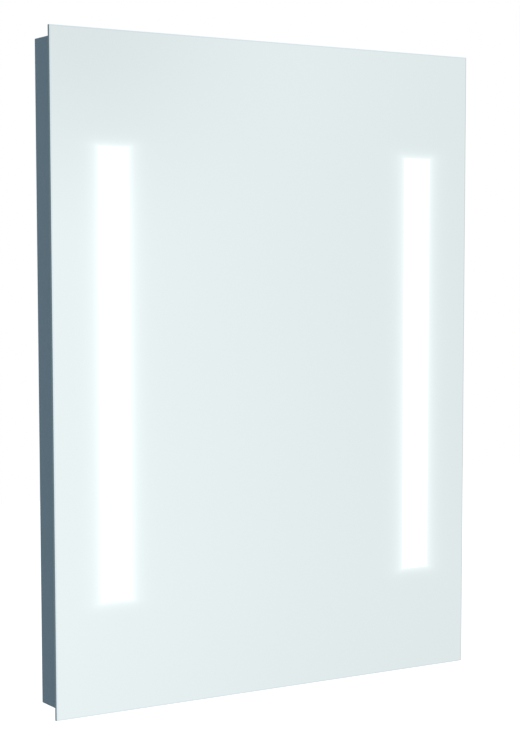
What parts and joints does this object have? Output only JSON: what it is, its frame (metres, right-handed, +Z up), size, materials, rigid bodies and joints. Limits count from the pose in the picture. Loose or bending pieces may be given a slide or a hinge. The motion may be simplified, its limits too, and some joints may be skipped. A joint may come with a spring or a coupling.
{
  "type": "illuminated mirror cabinet",
  "caption": "Slim wall cabinet behind a full-size mirror door with frosted lit strips near its side edges, on a slate-grey metal body.",
  "frame": {"origin": "centre of the wall face, the plane in which the back of the body lies", "axes": "+X to the right seen from the front, +Y into the wall, +Z up; the mirror faces -Y"},
  "size_m": [0.6, 0.056, 0.8],
  "materials": {
    "slate_paint": "satin slate-grey powder coat on aluminium profile",
    "white_steel": "white powder coat on steel sheet",
    "zinc": "bright zinc plate",
    "dark_steel": "blackened steel",
    "spring_steel": "bare spring steel",
    "hinge_steel": "satin stainless steel",
    "opal_acrylic": "opal acrylic",
    "lamp_glass": "phosphor-coated glass tube, lit",
    "lamp_cap": "drawn aluminium",
    "white_plastic": "moulded white plastic",
    "black_plastic": "moulded black plastic",
    "black_rubber": "black rubber",
    "grey_rubber": "slate-grey foam rubber",
    "ballast_case": "light grey lacquered steel",
    "brass": "turned brass",
    "white_pvc": "white cable sheath",
    "brown_pvc": "brown cable sheath",
    "blue_pvc": "blue cable sheath",
    "clear_acrylic": "clear acrylic, polished edges",
    "mirror": "silvered glass",
    "backing_film": "light grey safety film",
    "frosted_film": "white diffusing film",
    "foam_tape": "grey double-sided foam tape"
  },
  "bodies": {
    "cabinet": {"side_panel_left": "slate_paint", "side_panel_right": "slate_paint", "top_panel": "slate_paint", "bottom_panel": "slate_paint", "back_panel": "white_steel", "body_corner_keys": "zinc", "corner_screws": "dark_steel", "back_panel_screws": "zinc", "light_box_left": "white_steel", "light_box_right": "white_steel", "light_box_screws": "zinc", "diffuser_left": "opal_acrylic", "diffuser_right": "opal_acrylic", "reflector_left": "white_steel", "reflector_right": "white_steel", "lamp_tube_left": "lamp_glass", "lamp_tube_right": "lamp_glass", "lamp_caps": "lamp_cap", "lamp_holders": "white_plastic", "holder_rotors": "white_plastic", "holder_screws": "zinc", "lamp_clips": "spring_steel", "gear_cover": "white_steel", "cover_posts": "zinc", "cover_screws": "zinc", "ballast": "ballast_case", "ballast_screws": "zinc", "terminal_block": "white_plastic", "cord_clamp": "white_plastic", "cable_grommet": "black_rubber", "earth_stud": "brass", "lamp_leads": "white_pvc", "switch_lead": "brown_pvc", "gear_leads": "blue_pvc", "switch_housing": "black_plastic", "shelf_lower": "clear_acrylic", "shelf_middle": "clear_acrylic", "shelf_upper": "clear_acrylic", "shelf_pegs": "zinc", "catch_magnets": "black_plastic", "front_gasket": "grey_rubber", "hinge_leaf_body": "hinge_steel", "hinge_pin": "hinge_steel", "hinge_screws_body": "hinge_steel"},
    "door": {"hinge_leaf_door": "hinge_steel", "hinge_screws_door": "hinge_steel", "mirror_glass": "mirror", "safety_film": "backing_film", "window_films": "frosted_film", "door_frame_left": "slate_paint", "door_frame_right": "slate_paint", "door_frame_top": "slate_paint", "door_frame_bottom": "slate_paint", "door_corner_keys": "zinc", "inner_mirror": "mirror", "mirror_tape": "foam_tape", "strike_plates": "zinc"},
    "rocker": {"switch_rocker": "black_plastic"}
  },
  "joints": [
    {"name": "door_swing", "type": "hinge", "parent": "cabinet", "child": "door", "pos_m": [0.2946, -0.0412, 0], "axis": [0, 0, 1], "range_deg": [0, 110]},
    {"name": "switch_rocker_tilt", "type": "hinge", "parent": "cabinet", "child": "rocker", "pos_m": [0.23, -0.02, -0.3885], "axis": [0, 1, 0], "range_deg": [0, 22]}
  ]
}
